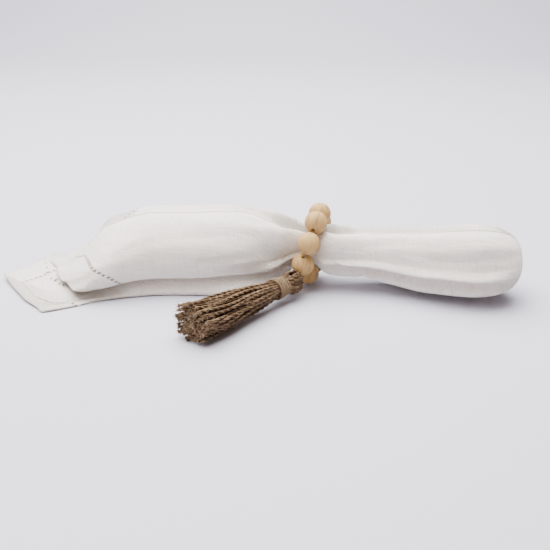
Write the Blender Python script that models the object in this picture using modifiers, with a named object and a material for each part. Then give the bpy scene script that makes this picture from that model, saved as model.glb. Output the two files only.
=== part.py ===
"""Square napkin drawn by its middle through a ring of wooden beads with a jute tassel."""

import math
from random import Random

import bmesh
import bpy
from mathutils import Matrix, Vector

MM = 0.001
WELD = 0.01 * MM

# Ring of beads
BEAD_COUNT = 8
BEAD_DIAMETER = 15 * MM
BORE_DIAMETER = 3 * MM
BEAD_GAP = 0.3 * MM
BEAD_SIDES = 20
BEAD_BANDS = 8
RING_RADIUS = 20.4 * MM
RING_HEIGHT = 28.3 * MM
RING_TURN = math.radians(11)
RING_LEAN = math.radians(6.5)
FIRST_BEAD = math.radians(166)
ELASTIC_DIAMETER = 0.8 * MM
ELASTIC_OFFSET = 0.68 * MM
ELASTIC_POINTS = 48
TUG = 4.2 * MM
TUG_ANGLE = math.radians(118)
TUG_SPREAD = math.radians(45)

# Napkin cloth
CLOTH_THICKNESS = 1 * MM
CREASE_GAP = 0.5 * MM
LAYER_RISE = 2.3 * MM
SHOULDER = 0.77
FOLD_STEPS = 3
HEM_ROWS = 6
HEM_START = -120 * MM
RING_PINCH = 32 * MM
DOME_START = 92 * MM

# Tassel
TASSEL_TOP = Vector((-13, -24.5, 11.5)) * MM
TASSEL_END = Vector((-76, -93, 12.4)) * MM
TASSEL_SEED = 4
STRAND_GRID = 8
STRAND_STEPS = 4
STRAND_SPREAD = (14.5, 12)
STRAND_ROOT = 0.6 * MM
STRAND_TIP = 1.1 * MM
STRAND_SWAY = 0.5 * MM
STRAND_FLARE = 0.8
TIP_START = 1.5
ROOT_INSET = 0.2 * MM
END_RAGGED = 2 * MM
NECK_RADIUS = 5.6 * MM
NECK_END = 23.5 * MM
TWINE_DIAMETER = 1.6 * MM
TWINE_BEND = 9 * MM
TWINE_REACH = 7 * MM
TWINE_STEPS = 12
TWINE_SIDES = 8
EYE_STEPS = 20
BINDING_WRAPS = 7
BINDING_START = 10 * MM
BINDING_END = 22.5 * MM
BINDING_INNER = 5.9 * MM
BINDING_OUTER = 7.7 * MM
BINDING_SIDES = 24
WRAP_STEPS = 3

# Tassel head from the neck up to the socket for its twine: height and radius, in millimetres
HEAD_PROFILE = (
    (9.5, 5.6),
    (8.5, 7.2),
    (5.5, 8.0),
    (2.5, 7.2),
    (0, 4.4),
    (-1, 2.8),
    (-1, 1.4),
    (3, 1.4),
)

# Napkin sections from the puffed middle to the loose corners, in millimetres
SECTION_COLUMNS = ("x", "mid_y", "mid_z", "front", "back", "half_height")
SECTIONS = (
    (134, -22.5, 25.4, 0.6, 0.6, 0.6),
    (132, -22.5, 25.3, 11, 11, 9.5),
    (127, -22.5, 25.2, 19.8, 19.8, 17.2),
    (121, -22.4, 25.0, 24.0, 24.0, 21.0),
    (115, -22.2, 24.7, 27.0, 27.0, 23.4),
    (103, -22.0, 24.6, 28.7, 28.7, 24.9),
    (91, -20.4, 24.0, 28.0, 28.0, 24.3),
    (79, -16.9, 23.2, 26.7, 26.7, 23.2),
    (67, -13.3, 22.3, 25.3, 25.3, 22.0),
    (49, -6.1, 22.3, 22.5, 22.5, 19.6),
    (32, -3.0, 23.8, 20.0, 20.0, 17.6),
    (14, -2.5, 26.0, 18.0, 18.0, 17.0),
    (8, -1.0, 27.8, 15.2, 15.2, 15.2),
    (4, 0.0, 28.3, 12.7, 12.7, 12.7),
    (0, 0.0, 28.3, 12.0, 12.0, 12.0),
    (-4, 0.0, 28.3, 12.3, 12.3, 12.3),
    (-8, 0.0, 28.0, 13.2, 14.4, 14.2),
    (-14, 0.6, 27.0, 16.8, 19.0, 18.0),
    (-20, 1.0, 26.2, 22.5, 24.0, 21.2),
    (-30, 2.5, 25.6, 26.5, 28.0, 24.0),
    (-54, 7.0, 25.4, 32.0, 32.0, 26.0),
    (-80, 10.0, 24.6, 34.0, 33.0, 25.0),
    (-103, 12.0, 24.4, 36.0, 33.0, 24.5),
    (-114, 13.0, 24.0, 39.0, 32.0, 24.0),
    (-126, 15.0, 22.0, 44.0, 31.0, 22.0),
    (-136, 18.0, 20.0, 51.0, 28.0, 20.0),
    (-144, 21.0, 17.8, 58.0, 25.0, 17.8),
    (-150, 25.0, 14.8, 67.0, 22.0, 14.8),
    (-163, 35.0, 9.6, 85.0, 14.0, 9.6),
    (-177, 46.0, 6.2, 102.0, 8.0, 6.2),
    (-190, 58.0, 4.6, 107.0, 6.0, 4.6),
    (-212, 70.0, 5.2, 96.0, 5.0, 5.2),
)

# Folds around the napkin, crest and groove in turn: name, then the angle in degrees from the
# front upwards, and then the reach as a share of the section, each in bulb, ring, fan and hem
FOLDS = (
    ("shoulder", 58, 50, 62, 52, 1.00, 1.00, 1.05, 0.60),
    ("pocket", 16, -14, 15, -6, 0.78, 0.66, 1.04, 0.56),
    ("brow", 9, -24, -27, -34, 0.93, 0.96, 1.06, 0.76),
    ("tuck", -5, -34, -37, -42, 0.70, 0.60, 0.28, 0.20),
    ("heel", -42, -68, -47, -47, 1.00, 1.00, 1.37, 1.37),
    ("arch", -82, -95, -74, -74, 0.70, 0.60, 0.55, 0.55),
    ("sole", -104, -122, -104, -104, 1.08, 1.00, 1.10, 1.10),
    ("rear_arch", -140, -148, -130, -130, 0.70, 0.60, 0.55, 0.55),
    ("rear_low", -170, -174, -158, -158, 1.00, 1.00, 1.05, 1.05),
    ("rear_groove", -200, -200, -190, -190, 0.70, 0.60, 0.55, 0.55),
    ("rear_high", -228, -226, -218, -218, 1.00, 1.00, 1.00, 1.00),
    ("nape", -248, -250, -240, -240, 0.70, 0.60, 0.60, 0.60),
    ("crown", -268, -275, -257, -257, 1.00, 1.00, 1.03, 1.03),
    ("parting", -285, -292, -275, -275, 0.84, 0.62, 0.88, 0.80),
)

# Hem line: a place counted along the folds, and how far left the cloth reaches there
HEM = (
    (0, -176),
    (1, -164),
    (2, -152),
    (2.67, -136),
    (3, -132),
    (3.34, -213),
    (3.67, -178),
    (4, -170),
    (4.5, -162),
    (5, -146),
    (7, -158),
    (9, -134),
    (10, -146),
    (12, -140),
    (13, -150),
    (13.66, -185),
    (14, -176),
)

# Rows of points along the napkin before the hem, in millimetres
ROWS = (133.6, 132, 129, 125, 119, 111, 101, 90, 78, 66, 53, 40, 29, 20, 14, 10, 7, 4, 0,
        -4, -7, -10, -14, -20, -28, -40, -54, -68, -82, -96, -109, -120)


def ease(start, stop, value):
    """Return 0 before start, 1 after stop and a smooth blend between."""
    share = min(max((value - start) / (stop - start), 0), 1)
    return share * share * (3 - 2 * share)


def tug_at(angle):
    """Return how far the tassel pulls the ring sideways at an angle."""
    return TUG * math.exp(-((angle - TUG_ANGLE) / TUG_SPREAD) ** 2)


def section_at(x):
    """Return the section's mid point and half sizes at x, in metres."""
    x = min(max(x / MM, SECTIONS[-1][0]), SECTIONS[0][0])
    index = 0
    while index < len(SECTIONS) - 2 and x < SECTIONS[index + 1][0]:
        index += 1
    before = SECTIONS[max(index - 1, 0)]
    start = SECTIONS[index]
    stop = SECTIONS[index + 1]
    after = SECTIONS[min(index + 2, len(SECTIONS) - 1)]
    length = stop[0] - start[0]
    share = (x - start[0]) / length
    square = share * share
    cube = square * share
    values = []
    for column in range(1, len(SECTION_COLUMNS)):
        slope_in = (stop[column] - before[column]) / (stop[0] - before[0])
        slope_out = (after[column] - start[column]) / (after[0] - start[0])
        value = (start[column] * (2 * cube - 3 * square + 1)
                 + stop[column] * (3 * square - 2 * cube)
                 + length * slope_in * (cube - 2 * square + share)
                 + length * slope_out * (cube - square))
        values.append(value * MM)
    return values


def fold_at(index, x):
    """Return a fold's angle in radians and its reach at x."""
    row = FOLDS[index % len(FOLDS)]
    bulb = ease(8 * MM, 60 * MM, x)
    fan = ease(-8 * MM, -50 * MM, x)
    hem = ease(-128 * MM, -178 * MM, x)
    shares = (bulb, 1 - bulb - fan, fan - hem, hem)
    angle = sum(share * value for share, value in zip(shares, row[1:5]))
    angle -= 360 * (index // len(FOLDS))
    reach = sum(share * value for share, value in zip(shares, row[5:9]))
    dome = ease(DOME_START, SECTIONS[0][0] * MM, x)
    return math.radians(angle), reach + (1 - reach) * dome


def cloth_point(x, crest, groove, share):
    """Return the point at x between a crest (share 0) and a groove (share 1)."""
    crest_angle, crest_reach = fold_at(crest, x)
    groove_angle, groove_reach = fold_at(groove, x)
    mid_y, mid_z, front, back, half_height = section_at(x)
    wall = abs(groove_angle - crest_angle)
    gap = min(CREASE_GAP / (groove_reach * (front + half_height)), wall / 3)
    groove_angle += math.copysign(gap, crest_angle - groove_angle)
    across = math.sin(share * math.pi / 2) ** SHOULDER
    out = max(math.cos(share * math.pi / 2), 0) ** SHOULDER
    angle = crest_angle + (groove_angle - crest_angle) * across
    reach = groove_reach + (crest_reach - groove_reach) * out
    half_width = front if math.cos(angle) > 0 else back
    y = mid_y - half_width * reach * math.cos(angle)
    z = max(mid_z + half_height * reach * math.sin(angle), floor_at(crest, groove, share))
    pinch = math.exp(-(x / RING_PINCH) ** 2)
    tilt = y * math.tan(RING_TURN) + (z - RING_HEIGHT) * math.tan(RING_LEAN)
    tilt -= tug_at(math.atan2(-y, z - RING_HEIGHT))
    return Vector((x + pinch * tilt, y, z))


def floor_at(crest, groove, share):
    """Return how low the cloth may lie, over the heel fold's lower layer."""
    heel = [row[0] for row in FOLDS].index("heel")
    if crest != heel or share > 0 and groove > crest:
        return 0
    return LAYER_RISE * min(0.5 + share * FOLD_STEPS / 2, 1)


def hem_at(place):
    """Return how far left the cloth reaches at a place among the folds."""
    place %= len(FOLDS)
    for start, stop in zip(HEM, HEM[1:]):
        if place <= stop[0]:
            share = (place - start[0]) / (stop[0] - start[0])
            return (start[1] + (stop[1] - start[1]) * share) * MM
    return HEM[-1][1] * MM


def cloth_columns():
    """List the cloth's lengthwise lines as crest, groove and share."""
    columns = []
    for crest in range(0, len(FOLDS), 2):
        for step in range(FOLD_STEPS, 0, -1):
            columns.append((crest, crest - 1, step / FOLD_STEPS))
        for step in range(FOLD_STEPS + 1):
            columns.append((crest, crest + 1, step / FOLD_STEPS))
    return columns


def make_object(name, mesh, material, collection, parent):
    """Make an object of a mesh with its material, collection and parent."""
    made = bpy.data.objects.new(name, mesh)
    mesh.materials.clear()
    mesh.materials.append(material)
    collection.objects.link(made)
    made.parent = parent
    return made


def make_material(name, colour, roughness):
    """Make a plain material that is not metal."""
    material = bpy.data.materials.new(name)
    material.use_nodes = True
    shader = material.node_tree.nodes["Principled BSDF"]
    shader.inputs["Base Color"].default_value = (*colour, 1)
    shader.inputs["Roughness"].default_value = roughness
    shader.inputs["Metallic"].default_value = 0
    return material


def make_napkin(material, collection, parent):
    """Make the gathered cloth as one sheet with its real thickness."""
    cloth = bmesh.new()
    lines = []
    for crest, groove, share in cloth_columns():
        side = 1 if groove > crest else -1
        hem = hem_at(crest + side * share)
        stations = [row * MM for row in ROWS]
        for row in range(1, HEM_ROWS + 1):
            stations.append(HEM_START + (hem - HEM_START) * row / HEM_ROWS)
        points = [cloth_point(x, crest, groove, share) for x in stations]
        lines.append([cloth.verts.new(point) for point in points])
    tip_y, tip_z = section_at(SECTIONS[0][0] * MM)[:2]
    tip = cloth.verts.new((SECTIONS[0][0] * MM, tip_y, tip_z))
    for line, following in zip(lines, lines[1:] + lines[:1]):
        cloth.faces.new((tip, line[0], following[0]))
        for row in range(len(line) - 1):
            cloth.faces.new((line[row], line[row + 1], following[row + 1], following[row]))
    mesh = bpy.data.meshes.new("napkin")
    cloth.to_mesh(mesh)
    cloth.free()
    mesh.shade_smooth()
    napkin = make_object("napkin", mesh, material, collection, parent)
    solidify = napkin.modifiers.new("thickness", "SOLIDIFY")
    solidify.thickness = CLOTH_THICKNESS
    solidify.offset = -1


def ring_frame():
    """Return the ring's centre and turn as a matrix, with its axis along X."""
    turn = Matrix.Rotation(-RING_TURN, 4, "Z") @ Matrix.Rotation(RING_LEAN, 4, "Y")
    return Matrix.Translation((0, 0, RING_HEIGHT)) @ turn


def ring_point(angle, radius):
    """Return a point of the ring, by its angle from the top towards the front."""
    angle = math.remainder(angle, 2 * math.pi)
    place = Vector((-tug_at(angle), -radius * math.sin(angle), radius * math.cos(angle)))
    return ring_frame() @ place


def ring_turn(angle):
    """Return the turn that lays a piece's Z axis along the elastic at an angle."""
    step = bead_pitch() * 0.3
    ahead = ring_point(angle + step, RING_RADIUS) - ring_point(angle - step, RING_RADIUS)
    return ahead.to_track_quat("Z", "Y")


def bead_pitch():
    """Return the angle between two touching beads."""
    return 2 * math.asin((BEAD_DIAMETER + BEAD_GAP) / (2 * RING_RADIUS))


def turned_mesh(name, profile):
    """Make a closed profile in the XZ plane as a mesh, for a Screw modifier."""
    mesh = bpy.data.meshes.new(name)
    edges = [(index, (index + 1) % len(profile)) for index in range(len(profile))]
    mesh.from_pydata([(radius, 0, height) for radius, height in profile], edges, [])
    return mesh


def turn_profile(made, steps):
    """Turn an object's profile about its own Z axis."""
    screw = made.modifiers.new("turned", "SCREW")
    screw.steps = steps
    screw.render_steps = steps
    screw.use_merge_vertices = True
    screw.merge_threshold = WELD
    screw.use_smooth_shade = True


def make_beads(material, collection, parent):
    """Make the beads, each a ball with a bore along the ring."""
    radius = BEAD_DIAMETER / 2
    bore = BORE_DIAMETER / 2
    lip = math.asin(bore / radius)
    profile = []
    for step in range(BEAD_BANDS + 1):
        angle = lip + (math.pi - 2 * lip) * step / BEAD_BANDS
        profile.append((radius * math.sin(angle), radius * math.cos(angle)))
    mesh = turned_mesh("bead", profile)
    bore_angle = math.atan(radius / RING_RADIUS)
    for number in range(BEAD_COUNT):
        angle = FIRST_BEAD + bead_pitch() * number
        bead = make_object(f"bead_{number + 1}", mesh, material, collection, parent)
        bead.rotation_mode = "QUATERNION"
        bead.rotation_quaternion = ring_turn(angle)
        middle = ring_point(angle, RING_RADIUS)
        ends = ring_point(angle + bore_angle, RING_RADIUS) + ring_point(angle - bore_angle, RING_RADIUS)
        sag = ring_frame().col[0].xyz * (ends / 2 - middle).dot(ring_frame().col[0].xyz) / 2
        bead.location = middle + sag
        turn_profile(bead, BEAD_SIDES)


def tube(name, points, diameter, closed):
    """Make a round tube along the points as a curve."""
    curve = bpy.data.curves.new(name, "CURVE")
    curve.dimensions = "3D"
    curve.bevel_depth = diameter / 2
    curve.bevel_resolution = 2
    curve.use_fill_caps = not closed
    spline = curve.splines.new("POLY")
    spline.points.add(len(points) - 1)
    for point, place in zip(spline.points, points):
        point.co = (*place, 1)
    spline.use_cyclic_u = closed
    return curve


def make_elastic(material, collection, parent):
    """Make the elastic that threads the beads, a closed loop."""
    radius = RING_RADIUS + ELASTIC_OFFSET
    turns = [2 * math.pi * step / ELASTIC_POINTS for step in range(ELASTIC_POINTS)]
    points = [ring_point(turn, radius) for turn in turns]
    curve = tube("elastic", points, ELASTIC_DIAMETER, True)
    make_object("elastic", curve, material, collection, parent)


def tassel_frame():
    """Return the tassel's frame, its Z axis running down to the cut end."""
    down = (TASSEL_END - TASSEL_TOP).normalized()
    side = Vector((0, 0, 1)).cross(down).normalized()
    rise = down.cross(side)
    turn = Matrix((side, rise, down)).transposed().to_4x4()
    return Matrix.Translation(TASSEL_TOP) @ turn


def make_hanger(material, collection, cutters, parent):
    """Make the twine that hangs the tassel, with an eye round the elastic."""
    angle = FIRST_BEAD + bead_pitch() * (BEAD_COUNT - 1)
    angle = (angle + FIRST_BEAD + 2 * math.pi) / 2
    radius = RING_RADIUS + ELASTIC_OFFSET
    eye_radius = (ELASTIC_DIAMETER + TWINE_DIAMETER) / 2 + BEAD_GAP
    bpy.ops.mesh.primitive_torus_add(major_radius=eye_radius, minor_radius=TWINE_DIAMETER / 2,
                                     major_segments=EYE_STEPS, minor_segments=TWINE_SIDES)
    eye = bpy.context.object
    eye.name = "tassel_hanger"
    for owner in list(eye.users_collection):
        owner.objects.unlink(eye)
    collection.objects.link(eye)
    eye.data.materials.append(material)
    eye.data.shade_smooth()
    eye.parent = parent
    eye.rotation_mode = "QUATERNION"
    eye.rotation_quaternion = ring_turn(angle)
    eye.location = ring_point(angle, radius)
    start = ring_point(angle, radius + eye_radius)
    below = ring_point(angle, radius + TWINE_BEND)
    before = tassel_frame() @ Vector((0, 0, -TWINE_REACH))
    finish = tassel_frame() @ Vector((0, 0, HEAD_PROFILE[-1][0] * MM - BEAD_GAP))
    points = []
    for step in range(TWINE_STEPS + 1):
        share = step / TWINE_STEPS
        rest = 1 - share
        points.append(start * rest ** 3 + below * 3 * rest ** 2 * share
                      + before * 3 * rest * share ** 2 + finish * share ** 3)
    curve = tube("stem", points, TWINE_DIAMETER, False)
    drawn = bpy.data.objects.new("stem_curve", curve)
    cutters.objects.link(drawn)
    bpy.context.view_layer.update()
    evaluated = drawn.evaluated_get(bpy.context.evaluated_depsgraph_get())
    mesh = bpy.data.meshes.new_from_object(evaluated)
    bpy.data.objects.remove(drawn)
    welded = bmesh.new()
    welded.from_mesh(mesh)
    bmesh.ops.remove_doubles(welded, verts=welded.verts, dist=WELD)
    welded.to_mesh(mesh)
    welded.free()
    stem = bpy.data.objects.new("stem", mesh)
    cutters.objects.link(stem)
    stem.parent = parent
    stem.hide_render = True
    stem.display_type = "WIRE"
    union = eye.modifiers.new("stem", "BOOLEAN")
    union.operation = "UNION"
    union.object = stem


def make_tassel(material, collection, parent):
    """Make the tassel's head and its strands as one body, strands apart below the neck."""
    body = bmesh.new()
    bmesh.ops.create_grid(body, x_segments=STRAND_GRID, y_segments=STRAND_GRID, size=1)
    for vert in body.verts:
        x, y, z = vert.co
        vert.co = (x * math.sqrt(1 - y * y / 2) * NECK_RADIUS,
                   y * math.sqrt(1 - x * x / 2) * NECK_RADIUS, NECK_END)
    roots = list(body.faces)
    rim = [edge for edge in body.edges if edge.is_boundary]
    for height, radius in HEAD_PROFILE:
        made = bmesh.ops.extrude_edge_only(body, edges=rim)["geom"]
        for vert in (item for item in made if isinstance(item, bmesh.types.BMVert)):
            out = Vector((vert.co.x, vert.co.y)).normalized() * radius * MM
            vert.co = (out.x, out.y, height * MM)
        rim = [item for item in made if isinstance(item, bmesh.types.BMEdge)]
    bmesh.ops.edgeloop_fill(body, edges=rim)
    bmesh.ops.inset_individual(body, faces=roots, thickness=ROOT_INSET)
    random = Random(TASSEL_SEED)
    length = (TASSEL_END - TASSEL_TOP).length - NECK_END
    for root in roots:
        middle = root.calc_center_median() / NECK_RADIUS
        reach = length + random.uniform(-1, 1) * END_RAGGED
        sway = Vector((random.uniform(-1, 1), random.uniform(-1, 1))) * STRAND_SWAY
        tip = root
        for step in range(1, STRAND_STEPS + 1):
            share = step / STRAND_STEPS
            tip = bmesh.ops.extrude_discrete_faces(body, faces=[tip])["faces"][0]
            old = tip.calc_center_median()
            flare = share ** STRAND_FLARE
            across = (NECK_RADIUS + (STRAND_SPREAD[0] * MM - NECK_RADIUS) * flare) * middle.x
            rise = (NECK_RADIUS + (STRAND_SPREAD[1] * MM - NECK_RADIUS) * flare) * middle.y
            swing = math.sin(share * math.pi)
            centre = Vector((across + sway.x * swing, rise, NECK_END + reach * share))
            half = STRAND_ROOT + (STRAND_TIP - STRAND_ROOT) * min(share * TIP_START, 1)
            for vert in tip.verts:
                vert.co = centre + (vert.co - old).normalized() * half
    bmesh.ops.recalc_face_normals(body, faces=body.faces)
    mesh = bpy.data.meshes.new("tassel")
    body.to_mesh(mesh)
    body.free()
    tassel = make_object("tassel", mesh, material, collection, parent)
    tassel.matrix_world = tassel_frame()


def make_binding(material, collection, parent):
    """Make the turns of twine wound round the tassel's neck."""
    wrap = (BINDING_END - BINDING_START) / BINDING_WRAPS
    profile = [(BINDING_INNER, -BINDING_START)]
    for number in range(BINDING_WRAPS):
        top = -BINDING_START - wrap * number
        for step in range(WRAP_STEPS):
            angle = math.pi * (step + 0.25) / WRAP_STEPS
            profile.append((BINDING_OUTER - wrap / 2 + wrap / 2 * math.sin(angle),
                            top - wrap / 2 + wrap / 2 * math.cos(angle)))
    profile.append((BINDING_INNER, -BINDING_END))
    mesh = turned_mesh("tassel_binding", profile)
    binding = make_object("tassel_binding", mesh, material, collection, parent)
    turn_profile(binding, BINDING_SIDES)
    binding.matrix_world = tassel_frame() @ Matrix.Rotation(math.pi, 4, "X")


def stand_on_origin(parent):
    """Shift the whole set so that the middle of its underside is the origin."""
    bpy.context.view_layer.update()
    graph = bpy.context.evaluated_depsgraph_get()
    points = []
    for child in parent.children:
        evaluated = child.evaluated_get(graph)
        mesh = evaluated.to_mesh()
        points += [child.matrix_world @ vert.co for vert in mesh.vertices]
        evaluated.to_mesh_clear()
    low = Vector([min(point[axis] for point in points) for axis in range(3)])
    high = Vector([max(point[axis] for point in points) for axis in range(3)])
    parent.location = (-(low.x + high.x) / 2, -(low.y + high.y) / 2, -low.z)
    bpy.context.view_layer.update()


def build():
    """Build the napkin, its ring of beads and the tassel."""
    for old in list(bpy.data.objects):
        bpy.data.objects.remove(old)
    collection = bpy.data.collections.new("napkin_in_ring")
    bpy.context.scene.collection.children.link(collection)
    cutters = bpy.data.collections.new("joined_shapes")
    bpy.context.scene.collection.children.link(cutters)
    root = bpy.data.objects.new("napkin_in_ring_root", None)
    collection.objects.link(root)
    linen = make_material("linen", (0.86, 0.84, 0.80), 0.9)
    wood = make_material("pale_wood", (0.66, 0.47, 0.29), 0.6)
    white_elastic = make_material("white_elastic", (0.75, 0.72, 0.66), 0.7)
    jute = make_material("jute", (0.30, 0.18, 0.09), 0.95)
    pale_jute = make_material("jute_binding", (0.38, 0.25, 0.14), 0.95)
    make_napkin(linen, collection, root)
    make_beads(wood, collection, root)
    make_elastic(white_elastic, collection, root)
    make_hanger(jute, collection, cutters, root)
    make_tassel(jute, collection, root)
    make_binding(pale_jute, collection, root)
    stand_on_origin(root)


build()
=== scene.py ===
import math
from random import Random

import bmesh
import bpy
from mathutils import Matrix, Vector, noise


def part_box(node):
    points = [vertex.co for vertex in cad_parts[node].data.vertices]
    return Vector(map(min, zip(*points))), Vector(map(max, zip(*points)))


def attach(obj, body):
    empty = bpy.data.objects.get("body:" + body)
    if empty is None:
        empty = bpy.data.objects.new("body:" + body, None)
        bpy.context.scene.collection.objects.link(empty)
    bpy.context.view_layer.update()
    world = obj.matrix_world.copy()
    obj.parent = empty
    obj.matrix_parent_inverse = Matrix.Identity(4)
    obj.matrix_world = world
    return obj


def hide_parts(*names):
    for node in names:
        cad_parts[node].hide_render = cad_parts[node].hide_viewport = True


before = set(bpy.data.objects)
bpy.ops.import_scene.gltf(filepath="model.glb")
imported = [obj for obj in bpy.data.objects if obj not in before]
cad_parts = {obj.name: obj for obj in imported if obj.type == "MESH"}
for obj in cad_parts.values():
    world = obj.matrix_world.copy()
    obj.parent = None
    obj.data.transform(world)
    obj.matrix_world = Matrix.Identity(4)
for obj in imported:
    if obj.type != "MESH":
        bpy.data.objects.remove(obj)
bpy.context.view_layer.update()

MM = 0.001

# The ring's foot is the point of the table top under its middle, from which every piece is placed
BEAD_COUNT = 8
BEADS_FROM_FOOT = Vector((-0.738, 0.614, 28.741)) * MM
bead_middles = []
for number in range(1, BEAD_COUNT + 1):
    low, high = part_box(f"bead_{number}")
    bead_middles.append((low + high) / 2)
RING_FOOT = sum(bead_middles, Vector()) / BEAD_COUNT - BEADS_FROM_FOOT


# The table top is a pale sheet that turns up behind the napkin without an edge.
# It is matt, and only a faint mottle shows in it.

SWEEP_FRONT = -900 * MM
SWEEP_BACK = 900 * MM
SWEEP_RADIUS = 500 * MM
SWEEP_HEIGHT = 1400 * MM
SWEEP_HALF_WIDTH = 1500 * MM
SWEEP_STEPS = 24
SWEEP_COLOUR = (0.552, 0.550, 0.638)
SWEEP_DULL = tuple(value * 0.99 for value in SWEEP_COLOUR)


def add_object(name, data):
    """Put a mesh, light or camera in the scene as an object at the origin."""
    made = bpy.data.objects.new(name, data)
    bpy.context.collection.objects.link(made)
    return made


sweep_line = [(SWEEP_FRONT, 0), (SWEEP_BACK, 0)]
for step in range(1, SWEEP_STEPS + 1):
    turn = math.radians(90) * step / SWEEP_STEPS
    sweep_line.append((SWEEP_BACK + SWEEP_RADIUS * math.sin(turn),
                       SWEEP_RADIUS * (1 - math.cos(turn))))
sweep_line.append((SWEEP_BACK + SWEEP_RADIUS, SWEEP_HEIGHT))
sweep_points = []
sweep_faces = []
for y, z in sweep_line:
    sweep_points += [(-SWEEP_HALF_WIDTH, y, z), (SWEEP_HALF_WIDTH, y, z)]
for row in range(len(sweep_line) - 1):
    sweep_faces.append((2 * row, 2 * row + 1, 2 * row + 3, 2 * row + 2))
sweep_mesh = bpy.data.meshes.new("table_top")
sweep_mesh.from_pydata(sweep_points, [], sweep_faces)
sweep_mesh.shade_smooth()
table_top = add_object("table_top", sweep_mesh)


def new_material(name):
    """Make an empty node material and return it with its nodes, links and shader."""
    material = bpy.data.materials.new(name)
    material.use_nodes = True
    nodes = material.node_tree.nodes
    return material, nodes, material.node_tree.links, nodes["Principled BSDF"]


def add_node(nodes, kind, **settings):
    """Add a node, set its properties, and set its inputs by their names."""
    node = nodes.new(kind)
    for name, value in settings.items():
        if hasattr(node, name):
            setattr(node, name, value)
        else:
            node.inputs[name.replace("_", " ").title()].default_value = value
    return node


def add_ramp(nodes, stops, factor, links):
    """Add a colour ramp on a factor, from a list of place and colour."""
    ramp = nodes.new("ShaderNodeValToRGB")
    elements = ramp.color_ramp.elements
    while len(elements) < len(stops):
        elements.new(0.5)
    for element, (place, colour) in zip(elements, stops):
        element.position = place
        element.color = (*colour, 1)
    links.new(factor, ramp.inputs["Fac"])
    return ramp.outputs["Color"]


def add_noise(nodes, links, place, scale, **settings):
    """Add noise over a place, which is stretched first where the scale is three numbers."""
    if isinstance(scale, tuple):
        stretch = add_node(nodes, "ShaderNodeMapping", scale=scale)
        links.new(place, stretch.inputs["Vector"])
        place = stretch.outputs["Vector"]
        scale = 1.0
    cloud = add_node(nodes, "ShaderNodeTexNoise", scale=scale, **settings)
    links.new(place, cloud.inputs["Vector"])
    return cloud.outputs["Fac"]


def set_finish(links, shader, colour, normal=None, **finish):
    """Give a shader its colour and its normal, and set how rough and how shiny it is."""
    links.new(colour, shader.inputs["Base Color"])
    if normal is not None:
        links.new(normal, shader.inputs["Normal"])
    names = {"rough": "Roughness", "shine": "Specular IOR Level", "sheen": "Sheen Weight",
             "sheen_rough": "Sheen Roughness"}
    for name, value in finish.items():
        shader.inputs[names[name]].default_value = value


table_paint, nodes, links, shader = new_material("table_paint")
place = add_node(nodes, "ShaderNodeTexCoord").outputs["Object"]
mottle = add_noise(nodes, links, place, 3.0, detail=3.0)
tint = add_ramp(nodes, [(0.3, SWEEP_DULL), (0.7, SWEEP_COLOUR)], mottle, links)
set_finish(links, shader, tint, rough=0.65, shine=0.25)
sweep_mesh.materials.append(table_paint)


# The picture is taken from the front and a little above. The light is soft, as in a white tent:
# a wide panel overhead, weaker ones from behind and from the left front, and a warm surround
# that fills the shadows.

VIEW_HEIGHT = math.radians(22)
VIEW_DISTANCE = 650 * MM
VIEW_SIZE = 550
RING_PIXEL = (314.6, 243.9)
RING_HEIGHT = 28.3
PIXEL = 0.67 * MM
SENSOR = 36

view_back = Vector((0, -math.cos(VIEW_HEIGHT), math.sin(VIEW_HEIGHT)))
view_up = Vector((0, math.sin(VIEW_HEIGHT), math.cos(VIEW_HEIGHT)))
ring_middle = RING_FOOT + Vector((0, 0, RING_HEIGHT)) * MM
target = (ring_middle - Vector((RING_PIXEL[0] - VIEW_SIZE / 2, 0, 0)) * PIXEL
          - view_up * (VIEW_SIZE / 2 - RING_PIXEL[1]) * PIXEL)
camera_data = bpy.data.cameras.new("camera")
camera_data.sensor_width = SENSOR
camera_data.lens = SENSOR * VIEW_DISTANCE / (VIEW_SIZE * PIXEL)
camera = add_object("camera", camera_data)
camera.location = target + view_back * VIEW_DISTANCE
camera.rotation_euler = (-view_back).to_track_quat("-Z", "Y").to_euler()
bpy.context.scene.camera = camera

# Square panels: name, then place, aim and width in metres, then power and colour
PANELS = (
    ("top_panel", (-0.14, 0.22, 1.00), (0, 0.02, 0), 1.35, 71, (1.0, 0.99, 0.975)),
    ("back_panel", (0.1, 0.7, 0.8), (0, 0.1, 0), 0.9, 4, (0.97, 0.98, 1.0)),
    ("left_panel", (-0.8, -0.7, 0.8), (0, 0, 0), 0.6, 4.5, (1.0, 0.98, 0.95)),
)
SURROUND_COLOUR = (1.0, 0.76, 0.56, 1)
SURROUND_STRENGTH = 0.29
for name, place, aim, width, power, colour in PANELS:
    panel_data = bpy.data.lights.new(name, "AREA")
    panel_data.size = width
    panel_data.energy = power
    panel_data.color = colour
    panel = add_object(name, panel_data)
    panel.location = place
    panel.rotation_euler = (Vector(aim) - Vector(place)).to_track_quat("-Z", "Y").to_euler()
surround = bpy.data.worlds.new("surround")
surround.use_nodes = True
backdrop = surround.node_tree.nodes["Background"]
backdrop.inputs["Color"].default_value = SURROUND_COLOUR
backdrop.inputs["Strength"].default_value = SURROUND_STRENGTH
bpy.context.scene.world = surround


# The napkin is one square of fine bleached linen, drawn together by the ring, with its corners
# at the left. Its own fine sheet follows the solid's folds, and where the solid's grooves end
# the rest of the cloth lies in pleats inside. It has a hem with a row of drawn threads.

THREAD_SHEET = 0.4 * MM
SINGLE_SHARE = 0.55
HEM_WIDTH = 22 * MM
TURNING = 0.6 * MM

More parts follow.
